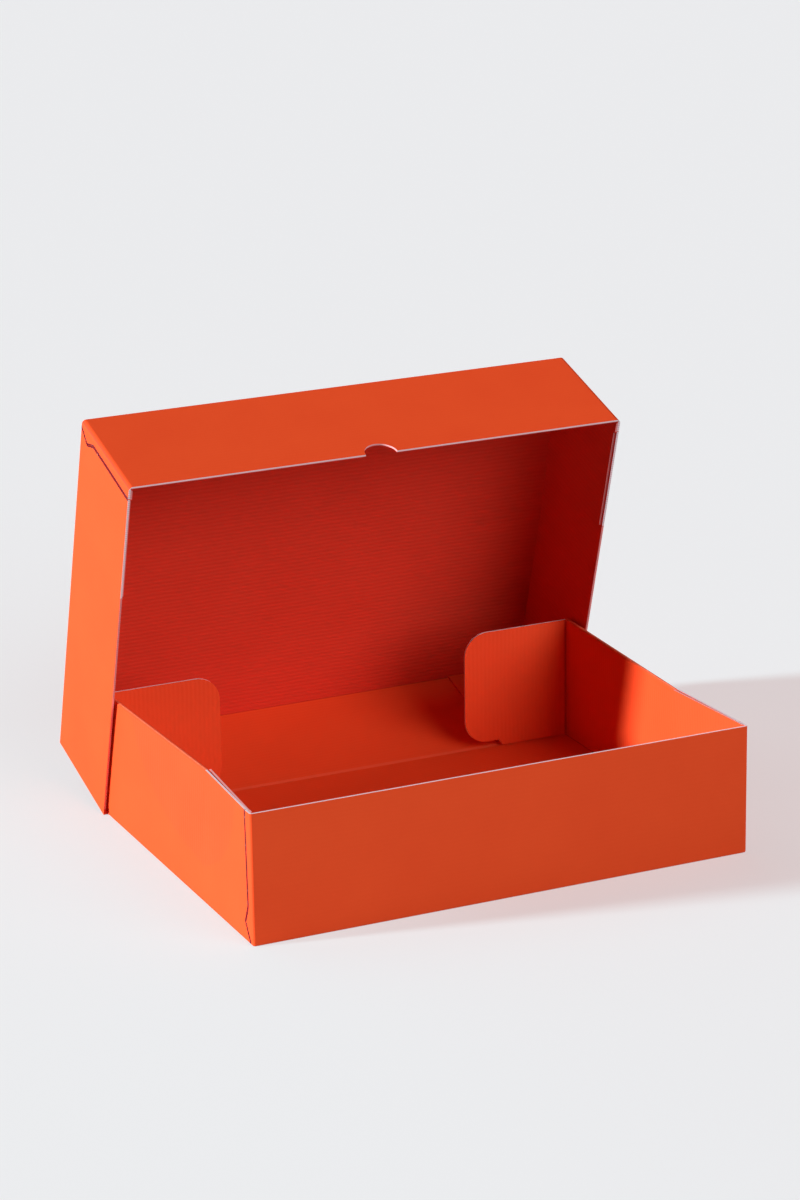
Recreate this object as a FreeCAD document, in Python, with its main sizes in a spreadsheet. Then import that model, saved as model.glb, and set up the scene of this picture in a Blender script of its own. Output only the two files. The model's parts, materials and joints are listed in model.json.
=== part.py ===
import FreeCAD
import Part
import Sketcher
import os

# A mailer box folded from one sheet of fine-flute corrugated board, with its lid standing open.
# Millimetres. X runs along the front wall, Y to the rear and Z up, from the middle of the underside.

SIZES = [
    ("board", 1.5, "thickness of the corrugated board"),
    ("tray_length", 370.0, "tray, left to right"),
    ("tray_depth", 273.0, "tray, front to rear"),
    ("tray_height", 93.0, "tray walls"),
    ("wall_bow", 5.2, "inward lean of a side wall's top at the end of the front flap"),
    ("rear_clear", 4.0, "from the end of a side wall to the closed rear wall's outer face"),
    ("layer_gap", 0.2, "air between the layers of a side wall"),
    ("front_flap", 90.0, "reach of a front flap inside the side wall"),
    ("flap_root", 2.6, "corner to the start of a front flap's step behind the side panel"),
    ("flap_joggle", 4.2, "corner to the end of that step"),
    ("flap_standoff", 1.0, "air between the side panel and the top of the flap's free end"),
    ("flap_set_back", 2.0, "free edge of the lid's side panel to the edge of the flap inside it"),
    ("slit_width", 0.7, "open width of the slit"),
    ("slit_free", 10.0, "front wall to side panel, at the panel's free edge"),
    ("slit_step", 8.0, "front wall to side panel, at the step of the slit"),
    ("slit_notch", 13.2, "front wall to side panel, in the notch of the slit"),
    ("slit_fold", 5.5, "front wall to side panel, at the fold"),
    ("step_rise", 24.0, "fold line to the step of the slit"),
    ("notch_rise", 12.3, "fold line to the notch of the slit"),
    ("ridge_bulge", 0.2, "swell of the roll-over fold on each side of the two layers"),
    ("tab_length", 84.0, "rear flap, from its fold to its free end"),
    ("tab_round", 18.0, "rounding of a rear flap's free corners"),
    ("tab_lift", 7.0, "rear flap's raised lower edge"),
    ("tab_foot", 2.5, "rear flap's lower edge beside its fold"),
    ("tab_step", 53.0, "fold to the step in the rear flap's lower edge"),
    ("tab_slope", 4.0, "run of that step"),
    ("tab_play", 0.3, "air at the rear flap's fold and above it"),
    ("lid_top_play", 0.3, "closed lid above the tray"),
    ("lid_side_play", 0.2, "closed lid beside the tray"),
    ("lid_front_play", 1.0, "closed lid in front of the tray"),
    ("lid_wall", 92.9, "depth of the lid's front and side walls"),
    ("lid_open_angle", 73.3, "lid swung back from closed, in degrees"),
    ("glue_flap", 60.0, "lid's side flap glued on the rear wall"),
    ("thumb_radius", 12.0, "half-round finger notch in the lid's front wall"),
    ("crease_gap", 0.3, "air around the lid's crease"),
    ("fold_radius", 1.0, "outer rounding of a fold"),
    ("corner_radius", 2.0, "outer rounding of the tray's front corners"),
    ("lid_corner_radius", 3.2, "outer rounding of the lid's front corners"),
]


def make_sheet(document):
    sheet = document.addObject("Spreadsheet::Sheet", "Sizes")
    for row, (alias, value, note) in enumerate(SIZES, start=1):
        sheet.set("A%d" % row, str(value))
        sheet.setAlias("A%d" % row, alias)
        sheet.set("B%d" % row, note)
    document.recompute()
    return sheet


def with_sheet(expression):
    """Write every size's alias in the expression as a reference to the sheet."""
    words = expression.split()
    aliases = [alias for alias, value, note in SIZES]
    return " ".join("Sizes." + word if word in aliases else word for word in words)


def bind(thing, prop, expression):
    thing.setExpression(prop, with_sheet(expression))


def origin_plane(body, role):
    for feature in body.Origin.OriginFeatures:
        if feature.Role == role:
            return feature
    raise ValueError(role)


def add_sketch(body, name, role, offset=None):
    sketch = body.newObject("Sketcher::SketchObject", name)
    sketch.AttachmentSupport = [(origin_plane(body, role), "")]
    sketch.MapMode = "FlatFace"
    if offset:
        bind(sketch, "AttachmentOffset.Base.z", offset)
    return sketch


def place_point(sketch, edge, vertex, number, across, up):
    """Fix one point of a sketch at two distances from the origin, both bound to the sheet."""
    for kind, letter, expression in (("DistanceX", "x", across), ("DistanceY", "y", up)):
        index = sketch.addConstraint(Sketcher.Constraint(kind, -1, 1, edge, vertex, 1.0))
        name = "%s%d" % (letter, number)
        sketch.renameConstraint(index, name)
        bind(sketch, "Constraints." + name, expression)


def add_outline(sketch, corners):
    """Draw a closed outline of straight lines through corners given as pairs of expressions."""
    count = len(corners)
    starts = [FreeCAD.Vector(10 * i, 10 * i * i, 0) for i in range(count)]
    for i in range(count):
        sketch.addGeometry(Part.LineSegment(starts[i], starts[(i + 1) % count]), False)
    for i in range(count):
        sketch.addConstraint(Sketcher.Constraint("Coincident", i, 2, (i + 1) % count, 1))
    for i, (across, up) in enumerate(corners):
        place_point(sketch, i, 1, i, across, up)


def add_circle(sketch, across, up, radius):
    edge = sketch.addGeometry(Part.Circle(FreeCAD.Vector(1, 1, 0), FreeCAD.Vector(0, 0, 1), 1.0), False)
    place_point(sketch, edge, 3, 0, across, up)
    index = sketch.addConstraint(Sketcher.Constraint("Radius", edge, 1.0))
    sketch.renameConstraint(index, "radius")
    bind(sketch, "Constraints.radius", radius)


def add_length_feature(body, kind, sketch, name, length, reverse=False):
    feature = body.newObject("PartDesign::" + kind, name)
    feature.Profile = sketch
    bind(feature, "Length", length)
    feature.Reversed = reverse
    body.Document.recompute()
    return feature


def add_loft(body, name, first, second):
    loft = body.newObject("PartDesign::AdditiveLoft", name)
    loft.Profile = first
    loft.Sections = [second]
    loft.Ruled = True
    body.Document.recompute()
    return loft


def add_fillet(body, name, radius, chosen):
    """Round the edges of the body's tip whose two ends pass the test, but none in the middle plane."""
    base = body.Tip
    picked = []
    for number, edge in enumerate(base.Shape.Edges, start=1):
        ends = [vertex.Point for vertex in edge.Vertexes]
        in_middle = all(near(point.x, 0) for point in ends)
        if len(ends) == 2 and not in_middle and all(chosen(point) for point in ends):
            picked.append("Edge%d" % number)
    fillet = body.newObject("PartDesign::Fillet", name)
    fillet.Base = (base, picked)
    bind(fillet, "Radius", radius)
    body.Document.recompute()
    return fillet


def mirror_whole(body):
    """Copy the finished left half across the middle."""
    mirror = body.newObject("PartDesign::Mirrored", body.Name + "_both_halves")
    mirror.TransformMode = "Whole shape"
    mirror.MirrorPlane = (origin_plane(body, "YZ_Plane"), [""])
    mirror.Refine = True
    body.Tip = mirror
    body.Document.recompute()


def near(value, target):
    return abs(value - target) < 0.01


# Places along the tray, measured from its front face and its middle.
LEFT = "0 - tray_length / 2"
WALL_END = "( tray_depth - rear_clear )"
SECOND_LAYER = "board + layer_gap"
RIDGE = "( board + ridge_bulge )"


def slit_outline(front, low, high, upward, width):
    """Front edge of a side panel, from its fold to its free edge, or the strip's edge facing it."""
    return [
        (front + " + slit_fold - " + width, low),
        (front + " + slit_notch - " + width, low + upward + "notch_rise"),
        (front + " + slit_step - " + width, low + upward + "step_rise"),
        (front + " + slit_free - " + width, high),
    ]


def side_layer(body, name, front, rear, top="tray_height"):
    """Loft a side wall's layer between two upright sections, each (place, lean, foot, thickness)."""
    sketches = []
    for end, (place, lean, foot, thickness) in (("front", front), ("rear", rear)):
        sketch = add_sketch(body, "%s_%s" % (name, end), "XZ_Plane", "0 - " + place)
        outer = LEFT + " + " + foot
        add_outline(sketch, [
            (outer, "0"),
            (outer + " + " + lean, top),
            (outer + " + " + lean + " + " + thickness, top),
            (outer + " + " + thickness, "0"),
        ])
        sketches.append(sketch)
    return add_loft(body, name, sketches[0], sketches[1])


def side_ridge(body):
    """Round ridge of the roll-over fold, along the top of the side wall behind the front flap."""
    line = add_sketch(body, "ridge_line", "XY_Plane", "tray_height - " + RIDGE)
    line.addGeometry(Part.LineSegment(FreeCAD.Vector(1, 1, 0), FreeCAD.Vector(2, 9, 0)), False)
    place_point(line, 0, 1, 0, LEFT + " + wall_bow + board", "front_flap + layer_gap")
    place_point(line, 0, 2, 1, LEFT + " + board", WALL_END + " - layer_gap")
    body.Document.recompute()
    section = body.newObject("Sketcher::SketchObject", "ridge_section")
    section.AttachmentSupport = [(line, "Edge1")]
    section.MapMode = "NormalToEdge"
    add_circle(section, "0", "0", RIDGE)
    length = "sqrt( ( %s - front_flap - 2 * layer_gap ) ^ 2 + wall_bow ^ 2 )" % WALL_END
    return add_length_feature(body, "Pad", section, "ridge", length, True)


def make_tray(document, sizes):
    body = document.addObject("PartDesign::Body", "tray")
    body.Label = "tray"

    # Floor and single-layer front wall, one folded sheet, from the middle to the left end.
    sheet_section = add_sketch(body, "floor_and_front", "YZ_Plane")
    add_outline(sheet_section, [
        ("0", "0"),
        ("tray_depth - board", "0"),
        ("tray_depth - board", "board"),
        ("board", "board"),
        ("board", "tray_height"),
        ("0", "tray_height"),
    ])
    add_length_feature(body, "Pad", sheet_section, "floor_and_front_pad", "tray_length / 2", True)

    # Hollow seat in the floor's rear end for the lid's rounded crease.
    seat = add_sketch(body, "crease_seat", "YZ_Plane")
    add_circle(seat, "tray_depth - board", "board", "board + crease_gap")
    add_length_feature(body, "Pocket", seat, "crease_seat_cut", "tray_length / 2")

    # Rolled-over side wall behind the front flap: two layers pressed together under a round ridge.
    side_layer(body, "rolled_wall", ("front_flap", "wall_bow", "0", "2 * board"),
               (WALL_END, "0", "0", "2 * board"), "tray_height - " + RIDGE)
    side_ridge(body)

    # Outer panel beside the front flap, cut back by the slit that frees it from the front wall.
    side_layer(body, "outer_panel", ("slit_fold", "0", "0", "board"),
               ("front_flap", "wall_bow", "0", "board"))
    slit = add_sketch(body, "slit", "YZ_Plane", LEFT + " - 1")
    add_outline(slit, [("board + crease_gap", "board")]
                + slit_outline("0", "board", "tray_height + 1", " + ", "0")
                + [("board + crease_gap", "tray_height + 1")])
    add_length_feature(body, "Pocket", slit, "slit_cut", "board + 1", True)

    # Strip that turns the front corner, flush with the side panel and parted from it by the slit.
    strip = add_sketch(body, "strip", "YZ_Plane", LEFT)
    add_outline(strip, [("board / 2", "board / 2"), ("slit_fold - slit_width", "board / 2")]
                + slit_outline("0", "board", "tray_height", " + ", "slit_width")
                + [("board / 2", "tray_height")])
    add_length_feature(body, "Pad", strip, "strip_pad", "board")
    add_fillet(body, "front_corner", "corner_radius",
               lambda p: near(p.x, -sizes.tray_length / 2) and near(p.y, 0))
    add_fillet(body, "front_fold", "fold_radius", lambda p: near(p.y, 0) and near(p.z, 0))

    # Front flap: a tongue that leaves the strip and lies behind the panel.
    plans = []
    top_lean = "( wall_bow + flap_standoff )"
    for level, height, lean in (("low", "board", "0"), ("high", "tray_height", top_lean)):
        plan = add_sketch(body, "front_flap_" + level, "XY_Plane", height)
        second = LEFT + " + " + SECOND_LAYER
        add_outline(plan, [
            (LEFT + " + board / 2", "flap_root"),
            (second, "flap_joggle"),
            (second, "slit_free"),
            (second + " + " + lean, "front_flap - layer_gap"),
            (second + " + board + " + lean, "front_flap - layer_gap"),
            (second + " + board", "slit_free"),
            (second + " + board", "flap_joggle"),
            (LEFT + " + board", "flap_root - board / 2"),
        ])
        plans.append(plan)
    add_loft(body, "front_flap_loft", plans[0], plans[1])

    mirror_whole(body)
    bind(body, "Placement.Base.y", "0 - tray_depth / 2")
    return body


def make_rear_flap(document, side, sign):
    """A free-standing flap on the rear end of a side wall, folded in towards the middle."""
    body = document.addObject("PartDesign::Body", side + "_rear_flap")
    body.Label = side + "_rear_flap"
    inward = "%d * " % -sign
    face = add_sketch(body, side + "_outline", "XZ_Plane")
    add_outline(face, [
        ("0", "tab_foot"),
        (inward + "tab_step", "tab_foot"),
        (inward + "( tab_step + tab_slope )", "tab_lift"),
        (inward + "tab_length", "tab_lift"),
        (inward + "tab_length", "tray_height - tab_play"),
        ("0", "tray_height - tab_play"),
    ])
    pad = add_length_feature(body, "Pad", face, side + "_sheet", "board")
    reach = max(abs(vertex.Point.x) for vertex in pad.Shape.Vertexes)
    corners = sorted(set(round(v.Point.z, 3) for v in pad.Shape.Vertexes if near(abs(v.Point.x), reach)))
    for name, level in zip(("low", "high"), corners):
        add_fillet(body, "%s_%s_corner" % (side, name), "tab_round",
                   lambda p: near(abs(p.x), reach) and near(p.z, level))
    bind(body, "Placement.Base.x", "%d * ( tray_length / 2 - 2 * board - tab_play )" % sign)
    bind(body, "Placement.Base.y", "tray_depth / 2 - rear_clear")
    return body


# Places on the lid as it is when closed, measured from its crease: Y to the rear and Z up.
LID_INNER = "( 0 - tray_depth + board - lid_front_play )"
LID_FRONT = "( 0 - tray_depth - lid_front_play )"
LID_UNDER = "( tray_height - board + lid_top_play )"
LID_TOP = "( tray_height + lid_top_play )"
LID_FREE = "( tray_height + lid_top_play - lid_wall )"
LID_HALF = "( tray_length / 2 + 2 * board + lid_side_play )"


def make_lid(document, sizes):
    body = document.addObject("PartDesign::Body", "lid")
    body.Label = "lid"

    # Rear wall, top and front wall, one folded sheet, from the middle to the left end.
    section = add_sketch(body, "rear_top_front", "YZ_Plane")
    add_outline(section, [
        ("0", "0"),
        ("board", "0"),
        ("board", LID_TOP),
        (LID_FRONT, LID_TOP),
        (LID_FRONT, LID_FREE),
        (LID_INNER, LID_FREE),
        (LID_INNER, LID_UNDER),
        ("0", LID_UNDER),
    ])
    add_length_feature(body, "Pad", section, "rear_top_front_pad", LID_HALF, True)

    # Strip that turns the front corner, flush with the side panel and parted from it by the slit.
    half = sizes.tray_length / 2 + 2 * sizes.board + sizes.lid_side_play
    front = -sizes.tray_depth - sizes.lid_front_play
    top = sizes.tray_height + sizes.lid_top_play
    strip = add_sketch(body, "lid_strip", "YZ_Plane", "0 - " + LID_HALF)
    add_outline(strip, [(LID_FRONT + " + board / 2", LID_TOP + " - board / 2")]
                + slit_outline(LID_FRONT, LID_TOP + " - board / 2", LID_FREE, " - ", "slit_width")
                + [(LID_FRONT + " + board / 2", LID_FREE)])
    add_length_feature(body, "Pad", strip, "lid_strip_pad", "board")
    add_fillet(body, "lid_corner", "lid_corner_radius", lambda p: near(p.x, -half) and near(p.y, front))

    # Side panel, with the slit that frees it from the front wall.
    panel = add_sketch(body, "side_panel", "YZ_Plane", "0 - " + LID_HALF)
    add_outline(panel, [("board", LID_FREE), ("board", LID_TOP + " - board / 2")]
                + slit_outline(LID_FRONT, LID_TOP + " - board / 2", LID_FREE, " - ", "0"))
    add_length_feature(body, "Pad", panel, "side_panel_pad", "board")
    add_fillet(body, "lid_folds", "fold_radius", lambda p: near(p.z, top))

    # Rounded crease that turns in the seat of the tray's floor.
    crease = add_sketch(body, "crease", "YZ_Plane")
    add_outline(crease, [
        ("0", "0 - board"),
        ("board", "0 - board"),
        ("board", "board"),
        ("0", "board"),
    ])
    add_length_feature(body, "Pad", crease, "crease_pad", "tray_length / 2", True)
    thick = sizes.board
    add_fillet(body, "crease_round", "board * 0.96", lambda p: near(p.y, thick) and near(p.z, -thick))

    # Front wall's flap, stepped in behind the strip and glued inside the side panel.
    plan = add_sketch(body, "lid_flap", "XY_Plane", LID_FREE)
    outer = "0 - " + LID_HALF
    add_outline(plan, [
        (outer + " + board / 2", LID_FRONT + " + flap_root"),
        (outer + " + board", LID_FRONT + " + flap_joggle"),
        (outer + " + board", LID_FRONT + " + front_flap"),
        (outer + " + 2 * board", LID_FRONT + " + front_flap"),
        (outer + " + 2 * board", LID_FRONT + " + flap_joggle - board / 2"),
        (outer + " + board", LID_FRONT + " + flap_root - board / 2"),
    ])
    add_length_feature(body, "Pad", plan, "lid_flap_pad", LID_UNDER + " - " + LID_FREE)
    step = add_sketch(body, "flap_edge", "YZ_Plane", outer + " + board")
    add_outline(step, [
        (LID_FRONT + " + slit_free", LID_FREE + " - 1"),
        (LID_FRONT + " + slit_free", LID_FREE),
        (LID_FRONT + " + slit_free + flap_set_back", LID_FREE + " + flap_set_back"),
        (LID_FRONT + " + front_flap + 1", LID_FREE + " + flap_set_back"),
        (LID_FRONT + " + front_flap + 1", LID_FREE + " - 1"),
    ])
    add_length_feature(body, "Pocket", step, "flap_edge_cut", "board + 1", True)

    # Side panel's rear flap, glued on the rear wall.
    glue = add_sketch(body, "glue_flap_outline", "XZ_Plane")
    add_outline(glue, [
        (outer + " + board", "2 * board"),
        (outer + " + board", LID_UNDER),
        (outer + " + board + glue_flap", LID_UNDER),
        (outer + " + board + glue_flap", "2 * board"),
    ])
    add_length_feature(body, "Pad", glue, "glue_flap_pad", "board")

    # Half-round finger notch in the middle of the free edge.
    notch = add_sketch(body, "thumb_notch", "XZ_Plane", "0 - " + LID_INNER + " - 1")
    add_circle(notch, "0", LID_FREE, "thumb_radius")
    add_length_feature(body, "Pocket", notch, "thumb_notch_cut", "board + 2", True)

    mirror_whole(body)
    body.Placement.Rotation = FreeCAD.Rotation(FreeCAD.Vector(1, 0, 0), -1.0)
    bind(body, "Placement.Base.y", "tray_depth / 2 - board")
    bind(body, "Placement.Base.z", "board")
    bind(body, "Placement.Rotation.Angle", "0 - lid_open_angle")
    return body


def check(document, bodies):
    for thing in document.Objects:
        if "Invalid" in thing.State or "Error" in thing.State:
            raise RuntimeError("failed: " + thing.Name)
    for body in bodies:
        if body.Shape.isNull() or not body.Shape.isValid() or len(body.Shape.Solids) != 1:
            raise RuntimeError("bad shape: " + body.Label)


def main():
    document = FreeCAD.newDocument("MailerBox")
    sizes = make_sheet(document)
    bodies = [
        make_tray(document, sizes),
        make_lid(document, sizes),
        make_rear_flap(document, "left", -1),
        make_rear_flap(document, "right", 1),
    ]
    document.recompute()
    check(document, bodies)
    os.makedirs("parts", exist_ok=True)
    for body in bodies:
        body.Shape.exportStep("parts/%s.step" % body.Label)


main()
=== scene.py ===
import json
import math
from collections import namedtuple

import bpy
from mathutils import Matrix, Vector


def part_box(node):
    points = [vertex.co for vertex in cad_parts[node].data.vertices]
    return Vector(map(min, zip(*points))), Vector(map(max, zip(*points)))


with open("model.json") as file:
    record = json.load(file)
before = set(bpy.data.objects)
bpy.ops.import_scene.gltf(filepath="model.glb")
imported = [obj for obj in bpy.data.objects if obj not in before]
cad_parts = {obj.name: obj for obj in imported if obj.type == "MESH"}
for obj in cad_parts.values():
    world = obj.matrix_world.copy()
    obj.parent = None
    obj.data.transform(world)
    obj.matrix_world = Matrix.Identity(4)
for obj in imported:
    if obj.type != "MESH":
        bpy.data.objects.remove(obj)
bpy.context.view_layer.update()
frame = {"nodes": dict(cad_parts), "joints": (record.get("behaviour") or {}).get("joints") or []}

MM = 0.001
HINGE = next(joint for joint in frame["joints"] if joint["name"] == "lid_hinge")
CREASE = Vector(HINGE["pos_m"])
LID_OPEN = math.radians(73.3)      # lid swung back from closed, as in part.py
BOARD = 1.5 * MM
FLUTE_PITCH = 3.3 * MM

TRAY_LOW, TRAY_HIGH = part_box("tray")
TRAY_HALF = 185.0 * MM             # outer half length of the tray
FLOOR_TOP = 3.0 * MM               # above the tray's floor, below everything else that faces up
FRONT_FLAP = 90.0 * MM             # reach of a front flap behind the front wall
LAYER_JOINT = 183.6 * MM           # inner face of a side wall's outer layer, at the front
WALL_LEAN = 0.0615                 # inward lean of the side wall, per length to the rear

# The lid's sizes count from its crease, with the lid closed.
LID_HALF = 188.2 * MM              # outer half length of the lid
LID_DEPTH = 274.0 * MM             # outer face of the front wall
LID_INNER_TOP = 91.8 * MM          # inner face of the top
LID_REAR = -4.0 * MM               # in front of the rear wall's inner face

# Slit at a front corner: height from the fold and distance from the front face, in mm.
SLIT_CORNERS = ((0.0, 5.5), (12.3, 13.2), (24.0, 8.0), (93.0, 10.0))
SLIT_MIDDLE = 0.35 * MM            # half of the slit's width
SLIT_REACH = 1.4 * MM              # half width of the painted shade line
SLIT_DEPTH = 2.4 * MM              # from the outside of the side panel

# Least share of a face's normal along an axis for it to count as facing that way.
SQUARELY = 0.9
CREST = 0.8
MOSTLY = 0.7
PARTLY = 0.5
SLIGHTLY = 0.3

# Colours are linear.
ORANGE = (0.93, 0.090, 0.018, 1.0)
ORANGE_DARK = (0.87, 0.072, 0.014, 1.0)
INSIDE_SHADE_TINT = (0.82, 0.62, 1.6, 1.0)    # painted shade on the inside faces: darker, redder and bluer than the outside
# Pale orange on the rear folds' crests, and painted highlight along the creases.
PALE_CREST_AND_HIGHLIGHT_ORANGE = (0.93, 0.26, 0.15, 1.0)
CUT_CARD = (0.90, 0.77, 0.83, 1.0)
# Painted shade in the hollow flutes of a raw edge.
FLUTE_HOLLOW_SHADE = (0.45, 0.16, 0.16, 1.0)
TORN_CARD = (0.80, 0.55, 0.58, 1.0)
# Painted shade along creases and in inner corners.
CREASE_SHADE = (0.45, 0.004, 0.010, 1.0)
# Painted shade of the slit's gap, on the faces beside it.
SLIT_SHADE = (0.09, 0.003, 0.014, 1.0)
FLOOR_PAPER = (0.60, 0.95, 1.0, 1.0)
# Glow seen on the floor's left part, painted light over the box's shade and red bounce there.
FLOOR_GLOW_LEFT_OVER_SHADE = (0.895, 0.855, 0.867, 1.0)
FLOOR_FLAT_RIGHT = (1.235, 0.895, 0.880, 1.0)
FLOOR_BOUNCE = (0.43, 0.43, 0.435, 1.0)
FLOOR_HALF = 30.0
FLOOR_BELOW = 0.2 * MM

# Masks from 0 to 1: raw cut edge, pale fold crest and painted highlight along creases, painted shade
# along creases, painted shade of the slit, and painted shade on the inside of the sheet.
# ribs is how strongly the flutes show, in the bump and in painted shade along each flute.
Marks = namedtuple("Marks", "cut worn crease slit ribs inside")


class Nodes:
    """Short calls for building one material's node tree."""

    def __init__(self, material):
        material.use_nodes = True
        self.tree = material.node_tree
        self.tree.nodes.clear()

    def add(self, kind, inputs=None, **settings):
        node = self.tree.nodes.new(kind)
        for name, value in settings.items():
            setattr(node, name, value)
        for name, value in (inputs or {}).items():
            self.put(node.inputs[name], value)
        return node

    def put(self, socket, value):
        if isinstance(value, bpy.types.NodeSocket):
            self.tree.links.new(value, socket)
        else:
            socket.default_value = value

    def output(self, shader):
        node = self.add("ShaderNodeOutputMaterial")
        self.put(node.inputs["Surface"], shader)

    def noise(self, place, scale, detail, roughness=0.5):
        return self.add("ShaderNodeTexNoise", {
            "Vector": place, "Scale": scale, "Detail": detail, "Roughness": roughness,
        }).outputs[0]

    def mix(self, factor, first, second, blend="MIX"):
        node = self.add("ShaderNodeMix", data_type="RGBA", blend_type=blend)
        pairs = (node.inputs[0], factor), (node.inputs[6], first), (node.inputs[7], second)
        for socket, value in pairs:
            self.put(socket, value)
        return node.outputs[2]

    def blend(self, share, first, second):
        """Mix of two shaders."""
        return self.add("ShaderNodeMixShader", {0: share, 1: first, 2: second}).outputs[0]

    def math(self, operation, first, second=None, third=None, clamp=False):
        node = self.add("ShaderNodeMath", operation=operation, use_clamp=clamp)
        for socket, value in zip(node.inputs, (first, second, third)):
            if value is not None:
                self.put(socket, value)
        return node.outputs[0]

    def plus(self, first, second):
        return self.math("ADD", first, second)

    def minus(self, first, second):
        return self.math("SUBTRACT", first, second)

    def times(self, first, second):
        return self.math("MULTIPLY", first, second)

    def ramp(self, value, slope, start, clamp=False):
        return self.math("MULTIPLY_ADD", value, slope, start, clamp)

    def size(self, value):
        return self.math("ABSOLUTE", value)

    def above(self, value, limit):
        return self.math("GREATER_THAN", value, limit)

    def below(self, value, limit):
        return self.math("LESS_THAN", value, limit)

    def both(self, *masks):
        result = masks[0]
        for mask in masks[1:]:
            result = self.times(result, mask)
        return result

    def either(self, *masks):
        result = masks[0]
        for mask in masks[1:]:
            result = self.math("MAXIMUM", result, mask)
        return result

    def without(self, mask, share):
        """1 where the mask is 0, and less than 1 by the share where the mask is 1."""
        return self.ramp(mask, -share, 1.0)

    def line(self, value, middle, half_width):
        """Soft line, 1 at its middle and 0 from half_width on."""
        away = self.size(self.minus(value, middle))
        return self.math("SUBTRACT", 1.0, self.math("DIVIDE", away, half_width), clamp=True)


def board_place(nodes, turn, centre):
    """Place and facing in the folded-up box, with a tilted lid turned back to its closed stance."""
    def turned(vector):
        return nodes.add("ShaderNodeVectorRotate", {"Vector": vector, "Angle": turn},
                         rotation_type="X_AXIS").outputs[0]

    def axes(vector):
        return nodes.add("ShaderNodeSeparateXYZ", {0: vector}).outputs

    coordinates = nodes.add("ShaderNodeTexCoord")
    shift = nodes.add("ShaderNodeVectorMath", {0: coordinates.outputs["Object"], 1: tuple(centre)},
                      operation="SUBTRACT").outputs[0]
    place = turned(shift)
    return axes(place), axes(turned(coordinates.outputs["Normal"])), place


def flute_phase(nodes, place, facing, vector, across_on_fronts):
    """Slightly wavering angle that goes once round with each flute."""
    faces_front = nodes.above(nodes.size(facing[1]), MOSTLY)
    across = nodes.add("ShaderNodeMix", {0: faces_front, 2: place[1], 3: place[across_on_fronts]},
                       data_type="FLOAT").outputs[0]
    wobble = nodes.noise(vector, 35.0, 2.0)
    return nodes.ramp(across, 2 * math.pi / FLUTE_PITCH, nodes.times(wobble, 3.0))


def face_colour(nodes, marks, wave, fibre, ragged, vector):
    """Printed liner with random tone, painted shade and painted highlights, with a little of every
    mark on it but the raw edges.
    """
    cloud = nodes.noise(vector, 22.0, 3.0)
    tone = nodes.plus(nodes.times(nodes.minus(cloud, 0.5), 0.9),
                      nodes.times(nodes.minus(fibre, 0.5), 0.8))
    # Painted shade and light along the flutes: the colour darkens and lightens with each flute,
    # besides the bump.
    tone = nodes.plus(nodes.times(wave, 0.16), tone)
    face = nodes.mix(nodes.math("ADD", tone, 0.5, clamp=True), ORANGE_DARK, ORANGE)
    # Painted shade: the inside faces are tinted darker, redder and bluer.
    face = nodes.mix(marks.inside, face, INSIDE_SHADE_TINT, "MULTIPLY")
    # Painted shade along creases and in inner corners.
    face = nodes.mix(nodes.times(marks.crease, 0.8), face, CREASE_SHADE)
    # Pale fold crests in ragged patches, and a painted highlight along the lid's crease and the
    # floor's rear crease.
    face = nodes.mix(nodes.times(marks.worn, 0.8), face, PALE_CREST_AND_HIGHLIGHT_ORANGE)
    # Painted shade of the slit, flecked with pale torn card.
    flecks = nodes.ramp(ragged, 7.0, -4.3, clamp=True)
    return nodes.mix(marks.slit, face, nodes.mix(flecks, SLIT_SHADE, TORN_CARD))


def edge_colour(nodes, phase):
    """Raw edge: pale liners, with painted shade in the hollow flutes between them."""
    flute_hollow_shade = nodes.ramp(nodes.math("SINE", nodes.times(phase, 2.0)), 0.5, 0.5)
    return nodes.mix(nodes.times(flute_hollow_shade, 0.30), CUT_CARD, FLUTE_HOLLOW_SHADE)


def make_board(name, find_marks, across_on_fronts, turn=0.0, centre=(0, 0, 0)):
    """Orange-faced corrugated board. find_marks(nodes, place, facing, ragged) gives its Marks, and
    across_on_fronts is the axis that crosses the flutes on faces that look to the front or rear."""
    material = bpy.data.materials.new(name)
    nodes = Nodes(material)
    place, facing, vector = board_place(nodes, turn, centre)
    ragged = nodes.noise(vector, 420.0, 5.0, 0.7)
    fibre = nodes.noise(vector, 2600.0, 4.0, 0.65)
    marks = find_marks(nodes, place, facing, ragged)

    # Washboard: the flutes' crests show through the liner.
    phase = flute_phase(nodes, place, facing, vector, across_on_fronts)
    wave = nodes.times(nodes.math("SINE", phase), marks.ribs)
    height = nodes.plus(nodes.times(wave, 0.5), nodes.times(fibre, 0.35))
    bump = nodes.add("ShaderNodeBump", {"Height": height, "Strength": 0.45, "Distance": 0.12 * MM})

    face = face_colour(nodes, marks, wave, fibre, ragged, vector)
    shader = nodes.add("ShaderNodeBsdfPrincipled", {
        "Base Color": nodes.mix(marks.cut, face, edge_colour(nodes, phase)),
        "Roughness": nodes.ramp(fibre, 0.18, 0.52),
        "Specular IOR Level": 0.16,
        "Normal": bump.outputs[0],
    })
    nodes.output(shader.outputs[0])
    return material


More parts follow.
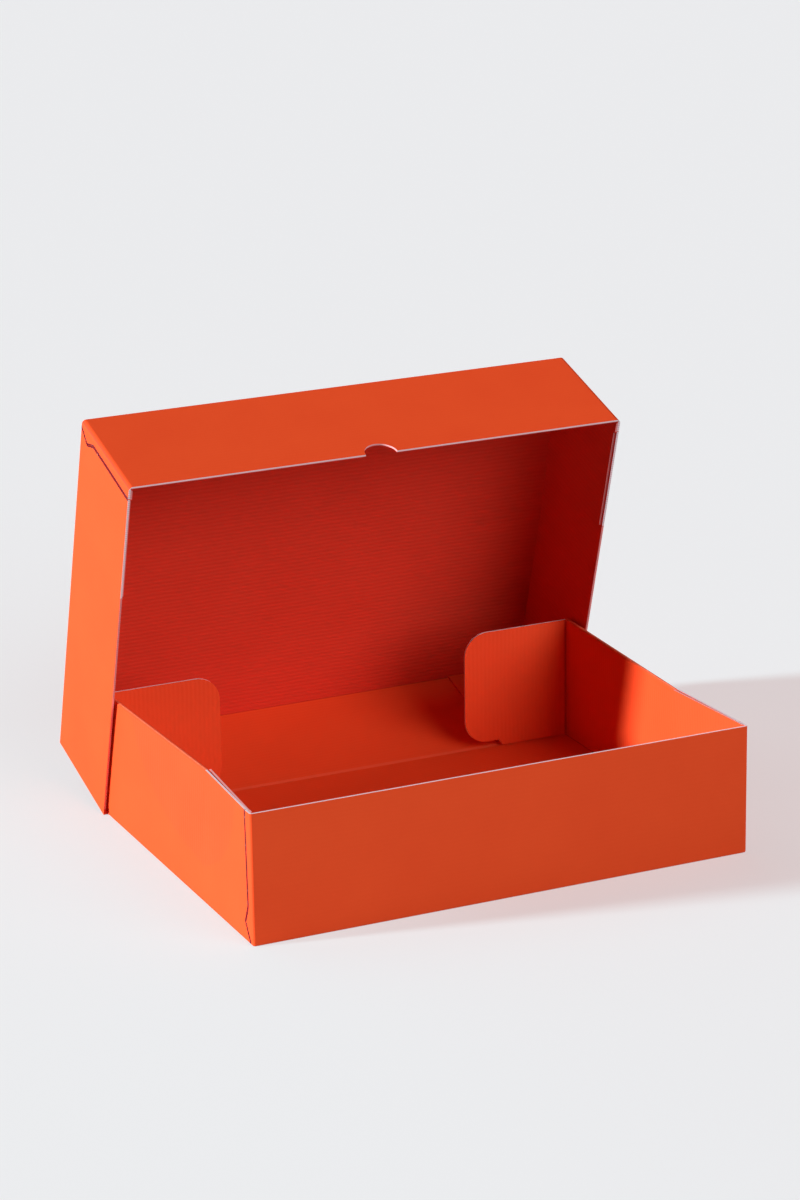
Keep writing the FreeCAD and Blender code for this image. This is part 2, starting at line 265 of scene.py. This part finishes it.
def slit_line(nodes, along, rise, sideways, facing, half_length):
    """Painted shade of the slit's gap at a front corner, spread on the faces beside it, with pale
    flecks of crushed, torn card. along runs back from the front face, and rise up from the fold."""
    line = SLIT_CORNERS[0][1] * MM
    for (low, start), (high, end) in zip(SLIT_CORNERS, SLIT_CORNERS[1:]):
        step = nodes.add("ShaderNodeMapRange", {
            "Value": rise, "From Min": low * MM, "From Max": high * MM,
            "To Min": 0.0, "To Max": (end - start) * MM,
        }).outputs[0]
        line = nodes.plus(line, step)
    middle = nodes.minus(line, SLIT_MIDDLE)
    beside = nodes.below(nodes.size(nodes.minus(along, middle)), SLIT_REACH)
    outer = nodes.above(nodes.size(sideways), half_length - SLIT_DEPTH)
    outward = nodes.above(nodes.times(facing[0], nodes.math("SIGN", sideways)), SLIGHTLY)
    return nodes.both(beside, outer, outward)


def tray_edges(nodes, along, half, place, facing):
    """Raw tops of the front wall and front flaps, halved by painted shade on a side wall's inner
    layer, so paler on its outer layer.
    """
    upward = nodes.above(facing[2], SQUARELY)
    at_top = nodes.above(place[2], TRAY_HIGH.z - 0.5 * MM)
    in_front = nodes.below(along, FRONT_FLAP)
    inner = nodes.both(nodes.below(half, nodes.ramp(along, -WALL_LEAN, LAYER_JOINT)),
                       nodes.above(along, 2.5 * MM))
    return nodes.both(upward, at_top, in_front, nodes.without(inner, 0.5))


def tray_marks(nodes, place, facing, ragged):
    along = nodes.minus(place[1], TRAY_LOW.y)
    half = nodes.size(place[0])

    crest = nodes.both(nodes.above(along, FRONT_FLAP), nodes.above(facing[2], CREST),
                       nodes.above(place[2], TRAY_HIGH.z - 1.6 * MM))
    worn = nodes.both(crest, nodes.ramp(ragged, 1.6, -0.25, clamp=True))
    on_floor = nodes.both(nodes.above(facing[2], MOSTLY), nodes.below(place[2], FLOOR_TOP))
    # Painted highlight along the crease at the rear of the floor.
    rear_line = nodes.both(on_floor, nodes.line(place[1], CREASE.y - 1.6 * MM, 1.5 * MM))
    outside = nodes.either(nodes.below(facing[1], -MOSTLY), nodes.above(half, LAYER_JOINT))
    return Marks(
        cut=tray_edges(nodes, along, half, place, facing),
        worn=nodes.either(worn, nodes.times(rear_line, 0.15)),
        # painted shade where the floor meets the side walls
        crease=nodes.both(on_floor, nodes.line(half, 182.0 * MM, 1.2 * MM)),
        slit=slit_line(nodes, along, nodes.minus(place[2], BOARD), place[0], facing, TRAY_HALF),
        ribs=nodes.without(outside, 0.7),
        # a little painted shade tint on the tray's inner faces
        inside=nodes.times(nodes.without(outside, 1.0), 0.12),
    )


def lid_edges(nodes, half, place, facing):
    """Raw edges at the lid's open side and in its finger notch, dimmed by painted shade past the front
    flaps and on the inner half of the board."""
    free_edge = nodes.both(nodes.below(facing[2], -SQUARELY), nodes.below(place[2], 2 * BOARD),
                           nodes.below(place[1], -3 * MM))
    around_notch = nodes.both(nodes.below(place[1], -LID_DEPTH + 4.5 * MM),
                              nodes.below(half, 13 * MM), nodes.below(place[2], 14 * MM))
    notch_edge = nodes.both(around_notch, nodes.below(nodes.size(facing[1]), PARTLY))
    past_flap = nodes.above(place[1], -LID_DEPTH + FRONT_FLAP)
    inner = nodes.both(nodes.below(half, LID_HALF - 1.6 * MM),
                       nodes.above(place[1], -LID_DEPTH + 1.1 * MM))
    cut = nodes.either(free_edge, nodes.times(notch_edge, 0.55))
    # Painted shade on the raw edges past the front flaps and on the board's inner half.
    return nodes.both(cut, nodes.without(nodes.either(past_flap, inner), 0.65))


def lid_marks(nodes, place, facing, ragged):
    half = nodes.size(place[0])
    faces_front = nodes.below(facing[1], -MOSTLY)
    rear_wall = nodes.both(faces_front, nodes.above(place[1], LID_REAR))
    outside = nodes.either(nodes.above(facing[2], MOSTLY), nodes.above(facing[1], MOSTLY),
                           nodes.both(faces_front, nodes.below(place[1], -200 * MM)),
                           nodes.above(half, LID_HALF - 0.5 * MM))
    inside = nodes.minus(1.0, nodes.either(outside, nodes.times(rear_wall, 0.8)))

    from_crease = nodes.plus(nodes.math("POWER", place[1], 2.0), nodes.math("POWER", place[2], 2.0))
    rounded = nodes.below(from_crease, (1.9 * MM) ** 2)
    rise = nodes.minus(LID_INNER_TOP + BOARD / 2, place[2])
    return Marks(
        cut=lid_edges(nodes, half, place, facing),
        # painted highlight on the lid's rounded crease
        worn=nodes.times(rounded, 0.22),
        # painted shade in the inner corner of the rear wall and the top
        crease=nodes.both(rear_wall, nodes.line(place[2], LID_INNER_TOP, 1.6 * MM)),
        slit=slit_line(nodes, nodes.plus(place[1], LID_DEPTH), rise, place[0], facing, LID_HALF),
        ribs=nodes.ramp(inside, 1.5, 0.3),
        # painted shade tint on the lid's inside faces, less on its rear wall
        inside=inside,
    )


def flap_marks(nodes, place, facing, ragged):
    """Every edge of a free flap is raw. Its broad faces look to the front and the rear."""
    return Marks(
        cut=nodes.below(nodes.size(facing[1]), PARTLY),
        worn=0.0,
        # painted shade along the flap's fold
        crease=nodes.line(nodes.size(place[0]), 181.7 * MM, 2.2 * MM),
        slit=0.0,
        ribs=0.75,
        # some painted shade tint on the whole flap
        inside=0.2,
    )


def paint(node, material):
    thing = frame["nodes"][node]
    thing.data.materials.clear()
    thing.data.materials.append(material)


def paint_box():
    upright, sideways = 2, 0
    paint("tray", make_board("tray_board", tray_marks, upright))
    paint("lid", make_board("lid_board", lid_marks, upright, LID_OPEN, CREASE))
    flap = make_board("flap_board", flap_marks, sideways)
    paint("left_rear_flap", flap)
    paint("right_rear_flap", flap)


def floor_material():
    """Pale paper. The camera sees it partly as an even glow, with a larger share on its left part than
    on its right one, so that painted light fills in the box's shade and red bounce on the floor at its
    left; every other ray meets plain dim paper, so that the background's colour adds no light."""
    material = bpy.data.materials.new("floor_paper")
    nodes = Nodes(material)
    paper = nodes.add("ShaderNodeBsdfDiffuse", {"Color": FLOOR_PAPER}).outputs[0]
    dim = nodes.add("ShaderNodeBsdfDiffuse", {"Color": FLOOR_BOUNCE}).outputs[0]

    def flattened(share, colour):
        flat = nodes.add("ShaderNodeEmission", {"Color": colour, "Strength": 1.0}).outputs[0]
        return nodes.blend(share, paper, flat)

    coordinates = nodes.add("ShaderNodeTexCoord")
    across = nodes.add("ShaderNodeSeparateXYZ", {0: coordinates.outputs["Object"]}).outputs[0]
    rightward = nodes.add("ShaderNodeMapRange", {"Value": across, "From Min": -0.30, "From Max": 0.05},
                          interpolation_type="SMOOTHSTEP").outputs[0]
    # Painted light: the larger glow share on the left fills in the box's shade and red bounce.
    seen = nodes.blend(rightward, flattened(0.85, FLOOR_GLOW_LEFT_OVER_SHADE), flattened(0.45, FLOOR_FLAT_RIGHT))
    path = nodes.add("ShaderNodeLightPath")
    nodes.output(nodes.blend(path.outputs["Is Camera Ray"], dim, seen))
    return material


def add_floor():
    corners = [(x * FLOOR_HALF, y * FLOOR_HALF, -FLOOR_BELOW)
               for x, y in ((-1, -1), (1, -1), (1, 1), (-1, 1))]
    mesh = bpy.data.meshes.new("floor")
    mesh.from_pydata(corners, [], [(0, 1, 2, 3)])
    mesh.materials.append(floor_material())
    floor = bpy.data.objects.new("floor", mesh)
    bpy.context.scene.collection.objects.link(floor)


def add_sun(name, travel, strength, width):
    light = bpy.data.lights.new(name, "SUN")
    light.energy = strength
    light.angle = math.radians(width)
    sun = bpy.data.objects.new(name, light)
    sun.rotation_mode = "QUATERNION"
    sun.rotation_quaternion = Vector(travel).to_track_quat("-Z", "Y")
    bpy.context.scene.collection.objects.link(sun)


def add_lights():
    add_sun("key_from_left", travel=(0.96, -0.19, -0.20), strength=6.3, width=6.0)
    add_sun("fill_from_right", travel=(-0.40, 0.80, -0.46), strength=1.82, width=45.0)
    add_sun("light_from_behind", travel=(0.25, -0.62, -0.75), strength=0.40, width=50.0)
    world = bpy.data.worlds.new("studio")
    bpy.context.scene.world = world
    world.use_nodes = True
    background = world.node_tree.nodes["Background"]
    background.inputs["Color"].default_value = (1.0, 1.0, 1.02, 1.0)
    background.inputs["Strength"].default_value = 0.06


def add_camera():
    """The photograph's viewpoint, found from the box's own straight edges."""
    place = Vector((-1.0376, -2.2531, 0.9672))
    forward = Vector((0.39403, 0.86699, -0.30509)).normalized()
    up = Vector((0.14149, 0.27076, 0.95219))
    right = forward.cross(up).normalized()
    up = right.cross(forward).normalized()
    focal_pixels = 3768.5
    frame_pixels = 800
    camera = bpy.data.cameras.new("photo_camera")
    camera.sensor_fit = "HORIZONTAL"
    camera.sensor_width = 36.0
    camera.lens = focal_pixels / frame_pixels * camera.sensor_width
    camera.clip_end = 100.0
    view = bpy.data.objects.new("photo_camera", camera)
    axes = Matrix((right, up, -forward)).transposed()
    view.matrix_world = Matrix.Translation(place) @ axes.to_4x4()
    bpy.context.scene.collection.objects.link(view)
    bpy.context.scene.camera = view


paint_box()
add_floor()
add_lights()
add_camera()
bpy.context.scene.view_settings.view_transform = "Standard"
